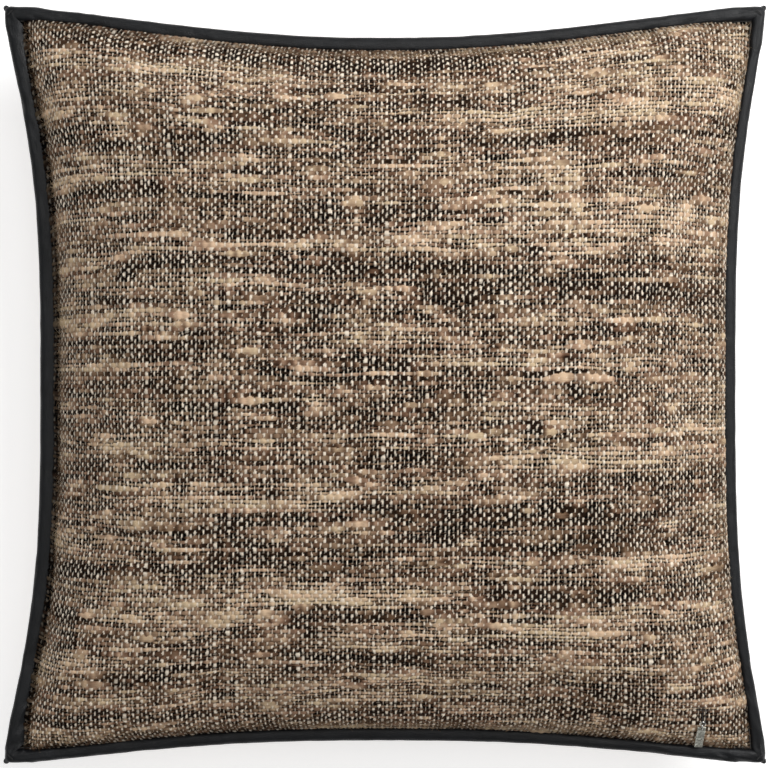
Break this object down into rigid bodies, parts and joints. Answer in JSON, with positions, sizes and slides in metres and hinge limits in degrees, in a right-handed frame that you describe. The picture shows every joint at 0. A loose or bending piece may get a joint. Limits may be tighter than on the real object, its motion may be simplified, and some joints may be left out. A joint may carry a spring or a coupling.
{
  "type": "throw pillow",
  "caption": "Square throw pillow in slubby woven cloth with leather piping, a zip in the back, a loose feather insert and a small metal charm.",
  "frame": {"origin": "on the floor under the middle of the outline, at the middle of the flat patch the pillow rests on", "axes": "+Z out of the front face (up, the pillow lies on its back), +Y towards the top edge, +X towards the right edge as the front face is seen; the charm is at the bottom right corner and the zip runs along X near the bottom edge of the back"},
  "size_m": [0.5074, 0.5044, 0.146],
  "materials": {
    "slub_cloth": "chunky plain weave, matt",
    "black_leather": "satin",
    "cotton_cord": "matt twisted cord",
    "black_thread": "matt twisted thread",
    "zip_tape": "matt woven tape",
    "zip_nylon": "satin nylon coil",
    "dark_metal": "dark satin metal",
    "ticking": "fine matt cotton",
    "feather": "soft loose filling",
    "label_satin": "blank satin ribbon",
    "charm_metal": "polished pewter"
  },
  "bodies": {
    "cover": {"front_panel": "slub_cloth", "back_panel": "slub_cloth", "back_zip_strip": "slub_cloth", "piping_leather_top": "black_leather", "piping_leather_right": "black_leather", "piping_leather_bottom": "black_leather", "piping_leather_left": "black_leather", "piping_cord_top": "cotton_cord", "piping_cord_right": "cotton_cord", "piping_cord_bottom": "cotton_cord", "piping_cord_left": "cotton_cord", "insert_edge_stitching": "cotton_cord", "front_seam_thread": "black_thread", "back_seam_thread": "black_thread", "mitre_stitch_top_left": "black_thread", "mitre_stitch_top_right": "black_thread", "mitre_stitch_bottom_left": "black_thread", "mitre_stitch_bottom_right": "black_thread", "zip_stitching_upper": "black_thread", "zip_stitching_lower": "black_thread", "charm_thread_loop": "black_thread", "zip_tape_upper": "zip_tape", "zip_tape_lower": "zip_tape", "zip_coil_upper": "zip_nylon", "zip_coil_lower": "zip_nylon", "zip_top_stop_upper": "dark_metal", "zip_top_stop_lower": "dark_metal", "zip_bottom_stop": "dark_metal", "insert_case_front": "ticking", "insert_case_back": "ticking", "insert_filling": "feather", "care_label": "label_satin"},
    "zip_slider": {"zip_slider": "dark_metal"},
    "zip_pull": {"zip_pull": "dark_metal"},
    "charm_link_upper": {"charm_link_upper": "charm_metal"},
    "charm_link_lower": {"charm_link_lower": "charm_metal"},
    "charm_tag": {"charm_tag": "charm_metal"}
  },
  "joints": [
    {"name": "zip_slide", "type": "slide", "parent": "cover", "child": "zip_slider", "axis": [-1, 0, 0], "range_m": [0, 0.2884]},
    {"name": "zip_pull_swing", "type": "hinge", "parent": "zip_slider", "child": "zip_pull", "pos_m": [0.1442, -0.19809, 0.03117], "axis": [0, -0.8387, 0.5446], "range_deg": [-80, 80]},
    {"name": "charm_link_swing", "type": "hinge", "parent": "cover", "child": "charm_link_upper", "pos_m": [0.2085, -0.2212, 0.0886], "axis": [-0.0215, -0.6129, 0.7899], "range_deg": [-15, 15]},
    {"name": "charm_link_lift", "type": "hinge", "parent": "charm_link_upper", "child": "charm_link_lower", "pos_m": [0.2084, -0.22404, 0.08639], "axis": [-0.9994, 0.035, 0], "range_deg": [0, 80]},
    {"name": "charm_tag_swing", "type": "hinge", "parent": "charm_link_lower", "child": "charm_tag", "pos_m": [0.20833, -0.22617, 0.08474], "axis": [-0.0215, -0.6129, 0.7899], "range_deg": [-15, 15]}
  ]
}
